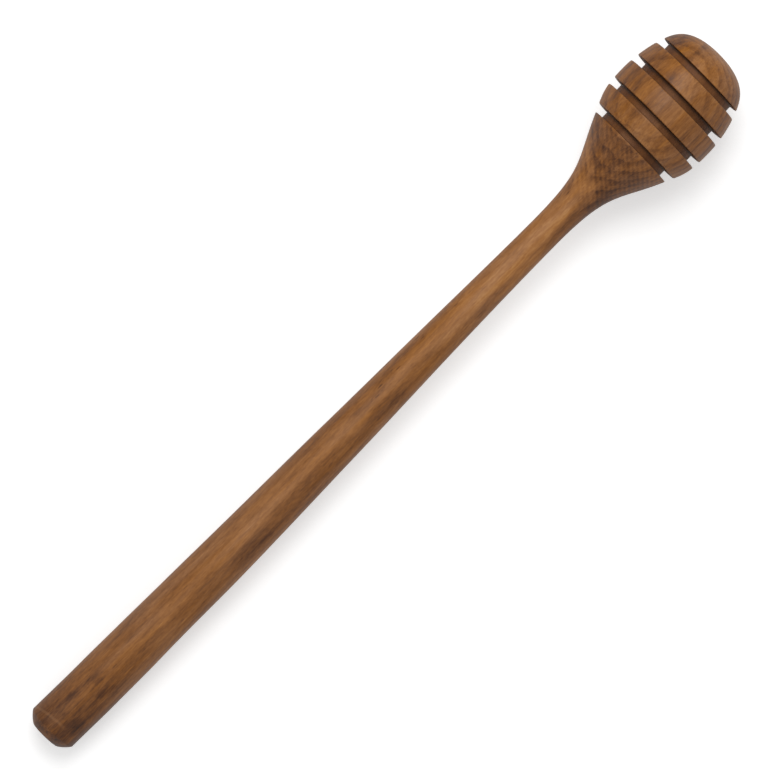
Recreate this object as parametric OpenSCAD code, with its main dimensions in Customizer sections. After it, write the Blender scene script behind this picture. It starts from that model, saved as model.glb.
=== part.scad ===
// Honey dipper turned on a lathe in one piece, from a single length of oiled hardwood.
// It lies on its side on a table at z = 0. +X runs from the butt to the tip of the head.
// The edge of the butt and the widest part of the head touch the table, so its axis tilts nose up.
// The origin is on the table, under the middle of the dipper.

/* [Grip] */
// Diameter of the straight grip at the butt end
grip_d = 14.5; // [11:0.1:20]
// Length of the grip, from the butt face to the start of the taper
grip_l = 20; // [8:0.5:60]
// Diameter of the flat face at the butt
butt_face_d = 9; // [4:0.1:10]
// Length of the eased edge round the butt, along the axis
butt_ease_l = 2.7; // [1:0.1:6]
// How far the eased edge bulges out of a straight bevel
butt_ease_bulge = 0.2; // [0.05:0.05:0.5]

/* [Taper and neck] */
// Length of the taper, from the grip to the neck
taper_l = 168.5; // [80:0.5:240]
// Diameter of the neck, the slimmest point
neck_d = 8.9; // [6:0.1:11]
// Share of the taper over which it keeps to the line of the grip
taper_grip_hold = 0.37; // [0.1:0.01:0.6]
// Share of the taper over which it keeps to the line of the neck
taper_neck_hold = 0.2; // [0.1:0.01:0.6]

/* [Flare] */
// Length of the flare, from the neck to its rim at the first groove
flare_l = 31.7; // [15:0.1:60]
// Diameter of the flare at its rim
rim_d = 26.1; // [18:0.1:31]
// Angle between the flare and the axis at the rim
rim_angle = 23.5; // [10:0.5:40]
// Share of the flare over which it keeps to the line of the neck
flare_neck_hold = 0.61; // [0.1:0.01:0.65]
// Share of the flare over which it keeps to its slope at the rim
flare_rim_hold = 0.4; // [0.1:0.01:0.6]

/* [Grooved head] */
// Diameter of the head at its widest, in the middle of the second disc
head_d = 32.1; // [28:0.1:44]
// Width of each groove, which is that of the parting tool
groove_w = 2.2; // [1:0.1:5]
// Depth of the first groove, between the flare and the first disc
groove_1_depth = 2.7; // [0.5:0.1:5]
// Depth of the second groove
groove_2_depth = 2.7; // [0.5:0.1:5]
// Depth of the third groove
groove_3_depth = 3.3; // [0.5:0.1:5]
// Depth of the fourth groove, under the dome
groove_4_depth = 2.4; // [0.5:0.1:5]
// Thickness of the first disc, the one next to the flare
disc_1_t = 5.6; // [2:0.1:12]
// Thickness of the second disc
disc_2_t = 6.3; // [2:0.1:12]
// Thickness of the third disc
disc_3_t = 5.7; // [2:0.1:12]
// Width of the small bevel sanded on each lip of a groove
arris = 0.25; // [0.05:0.05:0.5]
// Share of the head behind its widest point over which it keeps to its slope at the rim
belly_rim_hold = 0.34; // [0.1:0.01:0.6]
// Share of the head behind its widest point over which it stays level
belly_back_hold = 0.59; // [0.1:0.01:0.65]
// Share of the head in front of its widest point over which it stays level
belly_front_hold = 0.18; // [0.1:0.01:0.6]
// Share of the head in front of its widest point over which it keeps to its slope at the dome
belly_dome_hold = 0.43; // [0.1:0.01:0.6]

/* [Dome] */
// Length of the dome, from the last groove to the tip
dome_l = 7.4; // [4:0.1:16]
// Diameter of the dome where it starts at the last groove
dome_d = 27.2; // [20:0.1:31]
// Angle between the dome and the axis where it starts
dome_angle = 21; // [5:0.5:40]
// Share of the dome's length over which it keeps to its slope at the groove
dome_side_hold = 0.5; // [0.1:0.01:0.7]
// Share of the dome's radius over which its tip stays flat
dome_tip_hold = 0.71; // [0.2:0.01:0.85]

/* [Hidden] */
wood = "#8a5a3a";
curve_steps = 20;
ease_steps = 6;
cut_past = 2;
$fn = 96;

// Places along the axis, counted from the butt face
neck_x = grip_l + taper_l;
rim_x = neck_x + flare_l;
disc_1_x = rim_x + groove_w;
disc_2_x = disc_1_x + disc_1_t + groove_w;
disc_3_x = disc_2_x + disc_2_t + groove_w;
dome_x = disc_3_x + disc_3_t + groove_w;
tip_x = dome_x + dome_l;
widest_x = disc_2_x + disc_2_t / 2;

// Where each groove starts, and how deep it is
groove_x = [rim_x, disc_1_x + disc_1_t, disc_2_x + disc_2_t, disc_3_x + disc_3_t];
groove_depth = [groove_1_depth, groove_2_depth, groove_3_depth, groove_4_depth];

// Points [x, r] of the outline where one curve hands over to the next
butt_edge = [0, butt_face_d / 2];
grip_start = [butt_ease_l, grip_d / 2];
grip_end = [grip_l, grip_d / 2];
neck = [neck_x, neck_d / 2];
rim = [rim_x, rim_d / 2];
widest = [widest_x, head_d / 2];
dome_start = [dome_x, dome_d / 2];
tip = [tip_x, 0];

// Point at t, from 0 to 1, on the cubic curve from a to d that b and c pull
function cubic(a, b, c, d, t) =
    pow(1 - t, 3) * a + 3 * pow(1 - t, 2) * t * b + 3 * (1 - t) * t * t * c + pow(t, 3) * d;

// Curve from a to b, without b. It leaves a and meets b at the given angles to the axis,
// and holds each angle over a share of the way.
function sweep(a, b, angle_a, angle_b, hold_a, hold_b) =
    let (run = b.x - a.x)
    let (pull_a = a + run * hold_a * [1, tan(angle_a)])
    let (pull_b = b - run * hold_b * [1, tan(angle_b)])
    [for (i = [0 : curve_steps - 1]) cubic(a, pull_a, pull_b, b, i / curve_steps)];

// Bevel from a to b that bulges outwards, without b
function eased_edge(a, b, bulge) =
    let (out = [a.y - b.y, b.x - a.x] / norm(b - a))
    [for (i = [0 : ease_steps - 1]) let (t = i / ease_steps) a + t * (b - a) + 4 * bulge * t * (1 - t) * out];

// Dome from a to the tip on the axis, which it meets at a right angle
function dome_curve(a, b) =
    let (pull_a = a + (b.x - a.x) * dome_side_hold * [1, -tan(dome_angle)])
    let (pull_b = [b.x, a.y * dome_tip_hold])
    [for (i = [0 : curve_steps]) cubic(a, pull_a, pull_b, b, i / curve_steps)];

// Outline of the turned blank before the grooves are cut, as points [x, r] from butt to tip
outline = concat(
    eased_edge(butt_edge, grip_start, butt_ease_bulge),
    [grip_start],
    sweep(grip_end, neck, 0, 0, taper_grip_hold, taper_neck_hold),
    sweep(neck, rim, 0, rim_angle, flare_neck_hold, flare_rim_hold),
    sweep(rim, widest, rim_angle, 0, belly_rim_hold, belly_back_hold),
    sweep(widest, dome_start, 0, -dome_angle, belly_front_hold, belly_dome_hold),
    dome_curve(dome_start, tip)
);

// Steepest line from the edge of the grip to the head: the table, as the dipper lies on it
tilt = max([for (p = outline) if (p.x > neck_x) atan2(p.y - grip_start.y, p.x - grip_start.x)]);

// Reach of the tilted dipper: back, forward and down
back_reach = min([for (p = outline) p.x * cos(tilt) - p.y * sin(tilt)]);
front_reach = max([for (p = outline) p.x * cos(tilt) + p.y * sin(tilt)]);
low_reach = min([for (p = outline) p.x * sin(tilt) - p.y * cos(tilt)]);

// Lays a piece turned about the Z axis on the table, with the butt at the back
module on_table() {
    translate([-(back_reach + front_reach) / 2, 0, -low_reach])
        rotate([0, 90 - tilt, 0])
            children();
}

// Blank with its outside turned to shape
module blank() {
    rotate_extrude()
        polygon([[0, 0], for (p = outline) [p.y, p.x]]);
}

// Ring of waste that the parting tool takes out, with a bevel on each lip
module groove(x, depth) {
    back_lip = lookup(x, outline);
    front_lip = lookup(x + groove_w, outline);
    floor_r = lookup(x + groove_w / 2, outline) - depth;
    rotate_extrude()
        polygon([
            [floor_r, x],
            [back_lip - arris, x],
            [back_lip + cut_past, x - arris - cut_past],
            [front_lip + cut_past, x + groove_w + arris + cut_past],
            [front_lip - arris, x + groove_w],
            [floor_r, x + groove_w]
        ]);
}

// The whole dipper, which is one piece of wood
module turned_dipper() {
    color(wood)
        on_table()
            difference() {
                blank();
                for (i = [0 : len(groove_x) - 1])
                    groove(groove_x[i], groove_depth[i]);
            }
}

turned_dipper();
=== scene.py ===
import math

import bpy
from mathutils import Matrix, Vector


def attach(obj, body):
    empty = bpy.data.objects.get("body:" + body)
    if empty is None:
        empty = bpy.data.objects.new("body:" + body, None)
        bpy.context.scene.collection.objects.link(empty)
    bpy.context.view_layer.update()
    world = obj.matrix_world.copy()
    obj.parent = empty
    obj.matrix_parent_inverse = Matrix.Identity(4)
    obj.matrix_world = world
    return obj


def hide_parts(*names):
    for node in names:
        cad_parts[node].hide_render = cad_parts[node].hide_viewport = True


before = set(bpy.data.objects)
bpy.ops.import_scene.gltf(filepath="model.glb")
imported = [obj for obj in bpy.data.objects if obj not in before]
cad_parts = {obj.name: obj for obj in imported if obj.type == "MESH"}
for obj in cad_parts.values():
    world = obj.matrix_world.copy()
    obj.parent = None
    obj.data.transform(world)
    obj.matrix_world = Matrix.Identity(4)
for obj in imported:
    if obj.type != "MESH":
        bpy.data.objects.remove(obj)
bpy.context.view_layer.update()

# The dipper is one length of hardwood, turned between the centres of a lathe. Its butt, grip,
# taper, neck, flare, head and dome are one outline of curves that run into each other.
mm = 0.001
grip_d = 14.5 * mm
grip_l = 20 * mm
butt_face_d = 9 * mm
butt_ease_l = 2.7 * mm
butt_ease_bulge = 0.2 * mm
taper_l = 168.5 * mm
neck_d = 8.9 * mm
flare_l = 31.7 * mm
rim_d = 26.1 * mm
rim_angle = 23.5
head_d = 32.1 * mm
groove_w = 2.2 * mm
disc_t = [5.6 * mm, 6.3 * mm, 5.7 * mm]
dome_l = 7.4 * mm
dome_d = 27.2 * mm
dome_angle = 21
grip_holds = (0.33, 0.33)
taper_holds = (0.37, 0.2)
flare_holds = (0.61, 0.4)
rear_head_holds = (0.34, 0.59)
front_head_holds = (0.18, 0.43)
dome_holds = (0.5, 0.71)

neck = Vector((grip_l + taper_l, neck_d / 2))
rim = Vector((neck.x + flare_l, rim_d / 2))
groove_x = [rim.x + sum(disc_t[:i]) + i * groove_w for i in range(4)]
widest = Vector((groove_x[1] + groove_w + disc_t[1] / 2, head_d / 2))
dome_start = Vector((groove_x[3] + groove_w, dome_d / 2))
tip = Vector((dome_start.x + dome_l, 0))
butt_edge = Vector((0, butt_face_d / 2))
grip_start = Vector((butt_ease_l, grip_d / 2))
grip_end = Vector((grip_l, grip_d / 2))


def cubic(a, b, c, d, steps):
    """Points from a towards d, without d, on the curve that b and c pull."""
    shares = [i / steps for i in range(steps)]
    return [
        (1 - t) ** 3 * a + 3 * (1 - t) ** 2 * t * b + 3 * (1 - t) * t * t * c + t ** 3 * d
        for t in shares
    ]


def sweep(a, b, angle_a, angle_b, holds, steps):
    """Points from a towards b. The curve leaves a and meets b at these angles to the axis, and
    holds each angle over its share of the way."""
    run = b.x - a.x
    pull_a = a + run * holds[0] * Vector((1, math.tan(math.radians(angle_a))))
    pull_b = b - run * holds[1] * Vector((1, math.tan(math.radians(angle_b))))
    return cubic(a, pull_a, pull_b, b, steps)


def eased_edge(a, b, bulge, steps):
    """Points from a towards b on a bevel that bulges outwards."""
    out = Vector((a.y - b.y, b.x - a.x)).normalized()
    shares = [i / steps for i in range(steps)]
    return [a.lerp(b, t) + 4 * bulge * t * (1 - t) * out for t in shares]


def dome_curve(a, b, holds, steps):
    """Points from a towards b on the dome, which meets the axis at a right angle."""
    pull_a = a + (b.x - a.x) * holds[0] * Vector((1, -math.tan(math.radians(dome_angle))))
    pull_b = Vector((b.x, a.y * holds[1]))
    return cubic(a, pull_a, pull_b, b, steps)


handle_outline = (
    [Vector((0, butt_edge.y / 3)), Vector((0, butt_edge.y * 2 / 3))]
    + eased_edge(butt_edge, grip_start, butt_ease_bulge, 10)
    + sweep(grip_start, grip_end, 0, 0, grip_holds, 12)
    + sweep(grip_end, neck, 0, 0, taper_holds, 84)
)
head_outline = (
    sweep(neck, rim, 0, rim_angle, flare_holds, 44)
    + sweep(rim, widest, rim_angle, 0, rear_head_holds, 26)
    + sweep(widest, dome_start, 0, -dome_angle, front_head_holds, 26)
    + dome_curve(dome_start, tip, dome_holds, 26)
    + [tip]
)

# Four grooves are parted into the head after it is shaped. Each has straight walls, a flat floor
# and lips that sanding has rounded, and the three discs are what is left between them.
groove_depth = [2.7 * mm, 2.7 * mm, 3.3 * mm, 2.4 * mm]
lip_ease = 0.35 * mm
lip_room = 1.2 * lip_ease
floor_ease = 0.3 * mm
# How far the painted shade in the corners of a groove floor reaches, and how strong it is in the back
# corner.
shade_reach = 0.85 * mm
back_corner_shade = 0.55


def skin_r(x):
    """Radius at x of the head before the grooves are cut."""
    after = next(i for i, p in enumerate(head_outline) if p.x >= x)
    a = head_outline[after - 1]
    b = head_outline[after]
    return a.y + (b.y - a.y) * (x - a.x) / (b.x - a.x)


def bend(a, corner, b, steps):
    """Points from a to b on the curve that the corner pulls."""
    shares = [i / steps for i in range(steps + 1)]
    return [(1 - t) ** 2 * a + 2 * t * (1 - t) * corner + t * t * b for t in shares]


def groove_side(x, ahead, floor_r):
    """One side of a groove, from the skin over the rounded lip at x and down to the floor. The
    groove lies ahead of its back lip, where ahead is 1, and behind its front lip, where it is -1."""
    lip = Vector((x, skin_r(x)))
    brink = lip - Vector((0, lip_ease))
    skin_x = x - ahead * lip_ease
    foot = Vector((x, floor_r + floor_ease))
    floor_edge = Vector((x + ahead * floor_ease, floor_r))
    over_lip = bend(Vector((skin_x, skin_r(skin_x))), lip, brink, 6)
    wall = [brink.lerp(foot, i / 7) for i in range(1, 7)]
    return over_lip + wall + bend(foot, Vector((x, floor_r)), floor_edge, 4)


def groove(x, depth):
    """Rings of one groove, each with how sunk it is, how much painted shade the corners of the floor get
    there, and how worn the lip is, whose paler colour is partly a painted highlight. The front corner
    gets the deeper painted shade."""
    front = x + groove_w
    floor_r = skin_r(x + groove_w / 2) - depth
    floor_w = groove_w - 2 * floor_ease
    floor = [Vector((x + floor_ease + floor_w * i / 7, floor_r)) for i in range(1, 7)]
    rings = []
    for p in groove_side(x, 1, floor_r) + floor + groove_side(front, -1, floor_r)[::-1]:
        sunk = min(1, max(0, (skin_r(p.x) - p.y) / depth))
        front_shade = 1 - (p - Vector((front, floor_r))).length / shade_reach
        back_shade = back_corner_shade - (p - Vector((x, floor_r))).length / shade_reach
        to_lip = min((p - Vector((lip_x, skin_r(lip_x)))).length for lip_x in (x, front))
        rings.append((p, sunk, max(0, front_shade, back_shade), max(0, 1 - to_lip / (2 * lip_ease))))
    return rings


turned = [(p, 0.0, 0.0, 0.0) for p in handle_outline]
disc_from = neck.x
for x, depth in zip(groove_x, groove_depth):
    disc = [p for p in head_outline if disc_from <= p.x < x - lip_room]
    turned += [(p, 0.0, 0.0, 0.0) for p in disc]
    turned += groove(x, depth)
    disc_from = x + groove_w + lip_room
turned += [(p, 0.0, 0.0, 0.0) for p in head_outline if p.x >= disc_from and p.y > 0]

# The dipper lies on its side, on the edge of its butt and the widest disc, with its nose up. It
# was finished by hand, so its axis wanders, its grooves stand askew and its surface has flats.
tilt = max(math.atan2(p.y - grip_start.y, p.x - grip_start.x) for p in head_outline)
back_reach = min(p.x * math.cos(tilt) - p.y * math.sin(tilt) for p in handle_outline)
front_reach = max(p.x * math.cos(tilt) + p.y * math.sin(tilt) for p in head_outline)
low_reach = min(p.x * math.sin(tilt) - p.y * math.cos(tilt) for p in handle_outline)
butt = Vector((-(back_reach + front_reach) / 2, 0, -low_reach))
along = Vector((math.cos(tilt), 0, math.sin(tilt)))
across = Vector((0, 1, 0))
upward = Vector((-math.sin(tilt), 0, math.cos(tilt)))
askew = math.tan(math.radians(0.75))
askew_from = 205 * mm
askew_to = 219 * mm
dip_at = 46 * mm
dip_reach = 11 * mm
full_flats_r = 4 * mm
wander = [
    (0, 0.48), (20, 0.15), (34, 0.02), (72, -0.27), (112, -0.08),
    (152, 0.09), (192, 0.03), (218, -0.14), (236, 0.0), (254, 0.27),
]
sides = 144


def eased(value, low, high):
    """0 below low, 1 above high and a soft step between them."""
    t = min(1, max(0, (value - low) / (high - low)))
    return t * t * (3 - 2 * t)


def bow(x):
    """How far the axis has wandered to the side at x."""
    out = wander[0][1]
    for (a, side_a), (b, side_b) in zip(wander, wander[1:]):
        out += (side_b - side_a) * eased(x, a * mm, b * mm)
    return out * mm


def sanded(x, r, turn):
    """How far sanding left the surface off true: slight flats, and one long dip in the handle."""
    flats = 0.04 * math.sin(2 * turn + x / (31 * mm)) + 0.03 * math.sin(3 * turn - x / (19 * mm))
    dip = 0.1 * math.exp(-(((x - dip_at) / dip_reach) ** 2))
    return (flats - dip) * mm * min(1, r / full_flats_r)


def laid(x, r, turn):
    """Where the point at x and r of the outline lies once it is turned, sanded and laid down."""
    r += sanded(x, r, turn)
    y = r * math.sin(turn) + bow(x)
    x += askew * y * eased(x, askew_from, askew_to)
    return butt + x * along + y * across + r * math.cos(turn) * upward


rows = len(turned)
points = [laid(p.x, p.y, 2 * math.pi * k / sides) for p, *_ in turned for k in range(sides)]
points += [laid(0, 0, 0), laid(tip.x, 0, 0)]
butt_middle = rows * sides
tip_middle = butt_middle + 1
last = (rows - 1) * sides
faces = []
for k in range(sides):
    after = (k + 1) % sides
    faces.append((butt_middle, k, after))
    faces.append((tip_middle, last + after, last + k))
    for row in range(0, last, sides):
        faces.append((row + k, row + sides + k, row + sides + after, row + after))

mesh = bpy.data.meshes.new("dipper_wood")
mesh.from_pydata(points, [], faces)
mesh.polygons.foreach_set("use_smooth", [True] * len(faces))
for column, name in enumerate(("sunk", "soot", "worn"), 1):
    values = [float(ring[column]) for ring in turned for _ in range(sides)] + [0.0, 0.0]
    mesh.attributes.new(name, "FLOAT", "POINT").data.foreach_set("value", values)
mesh.update()
dipper = bpy.data.objects.new("dipper_wood", mesh)
bpy.context.scene.collection.objects.link(dipper)
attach(dipper, "root")
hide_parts("turned_dipper")

# The wood is a dark, oily hardwood with a wandering grain and open pores, rubbed with oil and left
# satin. Its colour is worked out in the block that it was cut from, in mm: x runs along the
# dipper from the butt, y across it and h up from its axis.


class Field:
    """One socket of a material. A sum written with it adds the Math nodes that work it out."""

    def __init__(self, tree, socket=None):
        self.tree = tree
        self.socket = socket

    def node(self, kind, settings, sockets, output=0):
        """A node of any other kind: its settings first, then the values or links of its sockets."""
        made = self.tree.nodes.new("ShaderNode" + kind)
        for name, value in settings.items():
            if name == "stops":
                ramp = made.color_ramp.elements
                ramp[0].position = value[0][0]
                ramp[-1].position = value[-1][0]
                for place, _ in value[1:-1]:
                    ramp.new(place)
                for element, (_, colour) in zip(ramp, value):
                    element.color = colour
            else:
                setattr(made, name, value)
        for name, value in sockets.items():
            if isinstance(value, Field):
                self.tree.links.new(value.socket, made.inputs[name])
            else:
                made.inputs[name].default_value = value
        return Field(self.tree, made.outputs[output] if len(made.outputs) else None)

    def math(self, operation, a, b=0.0):
        return self.node("Math", {"operation": operation}, {0: a, 1: b})

    def __add__(self, other):
        return self.math("ADD", self, other)

    def __sub__(self, other):
        return self.math("SUBTRACT", self, other)

    def __rsub__(self, other):
        return self.math("SUBTRACT", other, self)

    def __mul__(self, other):
        return self.math("MULTIPLY", self, other)

    def __truediv__(self, other):
        return self.math("DIVIDE", self, other)

    def __pow__(self, other):
        return self.math("POWER", self, other)

    def __abs__(self):
        return self.math("ABSOLUTE", self)

    __radd__ = __add__
    __rmul__ = __mul__

    def rise(self, low, high):
        """0 at low, 1 at high and a soft step between them. Low may be the larger one."""
        return self.node("MapRange", {"interpolation_type": "SMOOTHSTEP"}, {0: self, 1: low, 2: high})

    def under(self, colour, cover):
        """This colour with another one over it, as far as cover says."""
        return self.node("Mix", {"data_type": "RGBA"}, {0: cover, 6: self, 7: colour}, 2)


def seen(red, green, blue):
    """A colour as it looks on a screen, from 0 to 255, in the linear light that shaders use."""
    return tuple(((c / 255 + 0.055) / 1.055) ** 2.4 for c in (red, green, blue)) + (1.0,)


wood = bpy.data.materials.new("oiled_wood")
wood.use_nodes = True
wood.node_tree.nodes.clear()
paint = Field(wood.node_tree)
spot = paint.node("TexCoord", {}, {}, "Object")
tilt_back = {"Vector": spot, "Location": butt, "Rotation": (0, -tilt, 0), "Scale": (mm, mm, mm)}
block = paint.node("Mapping", {"vector_type": "TEXTURE"}, tilt_back)
x = paint.node("SeparateXYZ", {}, {0: block}, "X")
y = paint.node("SeparateXYZ", {}, {0: block}, "Y")
h = paint.node("SeparateXYZ", {}, {0: block}, "Z")
sunk = paint.node("Attribute", {"attribute_name": "sunk"}, {}, 2)
# How much painted shade darkens the corners of the groove floors.
soot = paint.node("Attribute", {"attribute_name": "soot"}, {}, 2)
# How worn each lip is. Its paler colour is partly wear and partly a painted highlight.
worn = paint.node("Attribute", {"attribute_name": "worn"}, {}, 2)


def drawn(length, width):
    """The block, counted in cells of this length along the grain and this width across it."""
    cells = (1 / length, 1 / width, 1 / width)
    return paint.node("VectorMath", {"operation": "MULTIPLY"}, {0: block, 1: cells})


def figure(length, width, detail):
    """Uneven growth in patches of this length and width, from about -0.5 to 0.5."""
    look = {"Vector": drawn(length, width), "Scale": 1.0, "Detail": detail, "Roughness": 0.6}
    return paint.node("TexNoise", {}, look) - 0.5


def pores(length, width):
    """Open pores, drawn out along the grain, one to a cell of this length and width."""
    return paint.node("TexVoronoi", {}, {"Vector": drawn(length, width), "Scale": 1.0}).rise(0.22, 0.1)


# Growth rings lie round a pith well below and beside the dipper. They swerve round a small knot
# near the butt, and the flare and the discs cut them into arches.
drift = figure(22, 6, 2)
ruffle = figure(7, 1.6, 3)
upper_side = h.rise(-2, 1)
flare = x.rise(196, 206)
head = x.rise(218.5, 220.5)
dome = x.rise(245.5, 247)


def oval(middle_x, middle_y, length, width):
    """A soft patch of this size on the upper side, with a ragged outline."""
    off_x = (x + 4 * ruffle - middle_x) / (length / 2)
    off_y = (y + 1.6 * ruffle - middle_y) / (width / 2)
    return (off_x * off_x + off_y * off_y).rise(1, 0) * upper_side


def line(middle_y, width):
    """A ragged line along the dipper, this far to the side of its axis."""
    return abs(y + 1.2 * ruffle + 0.8 * drift - middle_y).rise(width, 0.2 * width)


pith_y = -9
pith_h = -26
from_pith_y = y - pith_y
from_pith_h = h - pith_h
knot = oval(14, 0.6, 20, 8)
from_pith = (from_pith_y * from_pith_y + from_pith_h * from_pith_h) ** 0.5
ring_gap = 1.9
ring = paint.math("FRACT", (from_pith + 2.4 * drift + 1.4 * knot + 0.008 * x) / ring_gap)
late_wood = ring.rise(0.3, 0.9) * ring.rise(1.0, 0.9)

# How light the wood is, from 0 to 1: dark at the butt, lightest at the neck, dark on the flare
# and tan on the head, with fibres, mottling and clouds over that and a painted highlight along the top.
lightness = [
    (0, 0.28), (14, 0.4), (32, 0.56), (75, 0.58), (96, 0.52), (140, 0.63), (186, 0.68),
    (192, 0.72), (199, 0.66), (207, 0.43), (219, 0.42), (222, 0.64), (238, 0.62), (254, 0.62),
]
whole_l = tip.x / mm
grey_stops = [(place / whole_l, (tone, tone, tone, 1.0)) for place, tone in lightness]
tone = paint.node("ValToRGB", {"stops": grey_stops}, {0: x / whole_l})
fibres = figure(3.4, 0.36, 3)
tone = tone + 0.28 * figure(45, 1.2, 3) + 0.42 * figure(8, 1.5, 3) + 0.35 * figure(26, 4.5, 2)
tone = tone + 0.42 * fibres + 0.3 * figure(1.4, 0.5, 2)
# Over the darker late wood of the rings, the near side, turned away from the softbox, is painted a little
# darker as shade.
tone = tone - late_wood * (0.06 + 0.07 * flare) - 0.04 * y.rise(0, -5)
# A painted highlight runs along the top of the handle and the head, where the softbox lights them most.
handle_top_highlight = (1 - flare) * abs(y - 0.4).rise(2.8, 0.4)
head_top_highlight = head * abs(y - 0.5).rise(6.5, 1)
tone = tone + 0.1 * handle_top_highlight + 0.06 * head_top_highlight

# A light stripe runs from the neck up the far side of the flare. The rest of the flare is darker
# wood with slanting stripes, and it is lighter again beside the rim on its near side.
slant_rise = 1.14
slant_from = 207
slant = y - slant_rise * (x - slant_from)
before_rim = x.rise(220.4, 219.8)
stripe = abs(y + 0.8 * ruffle - 1.6).rise(3.2, 1.6) * x.rise(176, 190) * x.rise(209, 205)
far_flare = (slant + ruffle).rise(-0.6, 1.6) * x.rise(200, 205) * before_rim
near_flare = y.rise(-2, -5) * x.rise(214.5, 217.5) * before_rim
slant_lines = paint.math("SINE", 3.4 * slant + 5 * ruffle) * flare * before_rim
tone = tone + 0.05 * stripe + 0.2 * far_flare + 0.09 * near_flare + 0.05 * slant_lines
tone = tone - 0.22 * y.rise(-0.6, -2.2) * x.rise(180, 196) * x.rise(210, 202)

# A dark, speckled streak starts in the middle of the taper and then keeps to its far side.
streak = line(4.0 * x.rise(110, 145), 1.5) * x.rise(112, 130) * x.rise(212, 202)
pore = pores(5.5, 0.9) * (0.1 + 0.2 * streak) + pores(2.2, 0.42) * (0.07 + 0.15 * streak)
tone = tone - 0.08 * streak - pore

# Darker patches and marks of the knot, each with its place, length, width and strength.
patches = [
    (75, -3.5, 22, 6.0, 0.15), (127, -2.6, 20, 5.0, 0.15), (165, -2.6, 17, 4.6, 0.13),
    (8, -4.0, 7, 5.0, 0.16), (13, 2.7, 6, 2.4, 0.15), (21, 0.1, 5, 1.8, 0.16), (18.8, -2.4, 4, 2.4, 0.14),
]
for middle_x, middle_y, length, width, strength in patches:
    tone = tone - strength * oval(middle_x, middle_y, length, width)

# On the head dark lines run along the far side, where the wood is a stronger brown. Both sides
# darken towards their edges, and the far edge of the dome most of all.
tone = tone - head * (0.12 * line(4.7, 1.0) + 0.1 * line(9.9, 1.2) + 0.08 * line(12.4, 1.0))
tone = tone - head * (0.1 * (y + 0.8 * ruffle).rise(9.4, 10.6) + 0.07 * y.rise(-8, -11))
tone = tone - 0.1 * dome * y.rise(7, 9)
browns = [
    (0.0, seen(50, 27, 14)), (0.25, seen(92, 54, 25)), (0.5, seen(131, 83, 40)),
    (0.75, seen(159, 106, 56)), (1.0, seen(186, 134, 80)),
]
colour = paint.node("ValToRGB", {"stops": browns}, {0: tone})
warmth = 1 + 0.25 * figure(30, 3, 2) + 0.05 * head * y.rise(3, 6)
colour = paint.node("HueSaturation", {}, {"Saturation": warmth, "Color": colour})

# A painted highlight crosses the top of the butt a few mm from its end, where a ridge catches the
# light. The groove floors, where no sandpaper reached, are a darker brown, their corners are painted
# dark as shade, and the lips are a little paler, partly from wear and partly as a painted highlight.
butt_ridge_highlight_colour = seen(160, 116, 78)
raw_floor = seen(106, 62, 30)
corner_shade_colour = seen(22, 15, 10)
pale_lip_and_highlight = seen(170, 124, 84)
# A painted highlight where the ridge on top of the butt catches the light.
butt_ridge_highlight = abs(x + 0.03 * y * y + 0.6 * ruffle - 5.6).rise(0.6, 0.1) * y.rise(-2.5, 0) * upper_side
colour = colour.under(butt_ridge_highlight_colour, 0.22 * butt_ridge_highlight)
colour = colour.under(raw_floor, 0.6 * sunk)
colour = colour.under(corner_shade_colour, 0.9 * soot)
# The lips are painted paler, partly for wear and partly as a highlight on their edges.
colour = colour.under(pale_lip_and_highlight, 0.06 * worn)

# Oil fills the wood to a satin. The fibres stand slightly proud, the pores are open, and the tool
# left faint rings, most of all on the groove floors.
tool_rings = paint.node("TexNoise", {"noise_dimensions": "1D"}, {"W": x * 2.2, "Detail": 2.0}) - 0.5
relief = 0.8 * fibres - 2 * pore + tool_rings * (0.15 + 0.8 * sunk)
finish = {
    "Base Color": colour,
    "Roughness": 0.45 + 0.3 * fibres + 0.12 * sunk,
    "Specular IOR Level": 0.3,
    "Normal": paint.node("Bump", {}, {"Strength": 0.6, "Distance": 0.03 * mm, "Height": relief}),
}
surface = paint.node("BsdfPrincipled", {}, finish)
paint.node("OutputMaterial", {}, {"Surface": surface})
mesh.materials.append(wood)

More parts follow.
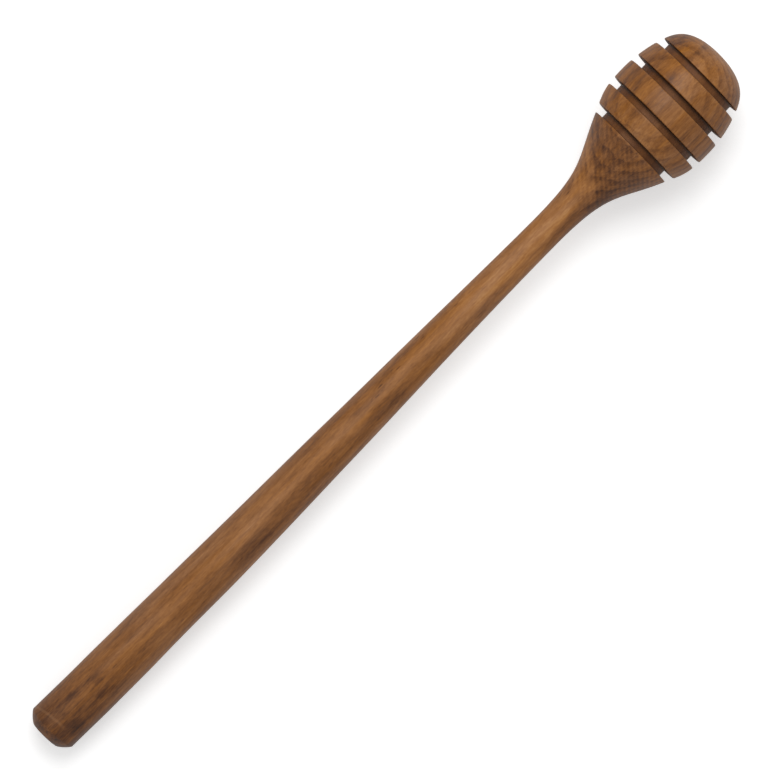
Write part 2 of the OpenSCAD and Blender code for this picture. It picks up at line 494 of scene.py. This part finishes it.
# The camera hangs straight above the dipper with a long lens, turned so that the handle comes in
# from the lower left and the head lies at the upper right.
camera = bpy.data.objects.new("camera", bpy.data.cameras.new("camera"))
camera.data.lens = 233.8
camera.data.sensor_width = 36
camera_height = 1.3257
picture_middle = butt + 129.74 * mm * along + 1.68 * mm * across
camera.location = picture_middle + Vector((0, 0, camera_height))
picture_turn = math.radians(-45.3)
camera.rotation_euler = (0, 0, picture_turn)
bpy.context.scene.collection.objects.link(camera)
bpy.context.scene.camera = camera

# The floor is a wide sheet of matt white paper. It shows as white to the camera and keeps the
# dipper's soft shadow.
paper = bpy.data.materials.new("paper")
paper.use_nodes = True
paper.node_tree.nodes.clear()
sheet = Field(paper.node_tree)
white = (1.0, 1.0, 1.0, 1.0)
paper_white = (0.82, 0.82, 0.82, 1.0)
to_camera = sheet.node("LightPath", {}, {}, "Is Camera Ray")
matt = sheet.node("BsdfDiffuse", {}, {"Color": paper_white})
lift = sheet.node("Emission", {}, {"Color": white, "Strength": 0.42 * to_camera})
sheet.node("OutputMaterial", {}, {"Surface": sheet.node("AddShader", {}, {0: matt, 1: lift})})
half = 3.0
floor_mesh = bpy.data.meshes.new("floor")
corners = [(-half, -half, 0), (half, -half, 0), (half, half, 0), (-half, half, 0)]
floor_mesh.from_pydata(corners, [], [(0, 1, 2, 3)])
floor_mesh.materials.append(paper)
floor = bpy.data.objects.new("floor", floor_mesh)
bpy.context.scene.collection.objects.link(floor)

# One large softbox hangs at the top of the picture and leans over the dipper. The white room
# fills the rest.
softbox = bpy.data.objects.new("softbox", bpy.data.lights.new("softbox", "AREA"))
softbox.data.shape = "RECTANGLE"
softbox_side = 0.7
softbox.data.size = softbox_side
softbox.data.size_y = softbox_side
softbox.data.energy = 7.5
softbox_from = Vector((0.34, 0.33, 0.88)).normalized()
softbox_reach = 1.3
softbox.location = softbox_reach * softbox_from
softbox.rotation_euler = softbox_from.to_track_quat("Z", "Y").to_euler()
softbox.visible_camera = False
bpy.context.scene.collection.objects.link(softbox)

room = bpy.data.worlds.new("room")
room.use_nodes = True
room.node_tree.nodes.clear()
air = Field(room.node_tree)
room_to_camera = air.node("LightPath", {}, {}, "Is Camera Ray")
glow = air.node("Background", {}, {"Color": white, "Strength": 0.55 + 0.45 * room_to_camera})
air.node("OutputWorld", {}, {"Surface": glow})
bpy.context.scene.world = room
bpy.context.scene.view_settings.view_transform = "Standard"
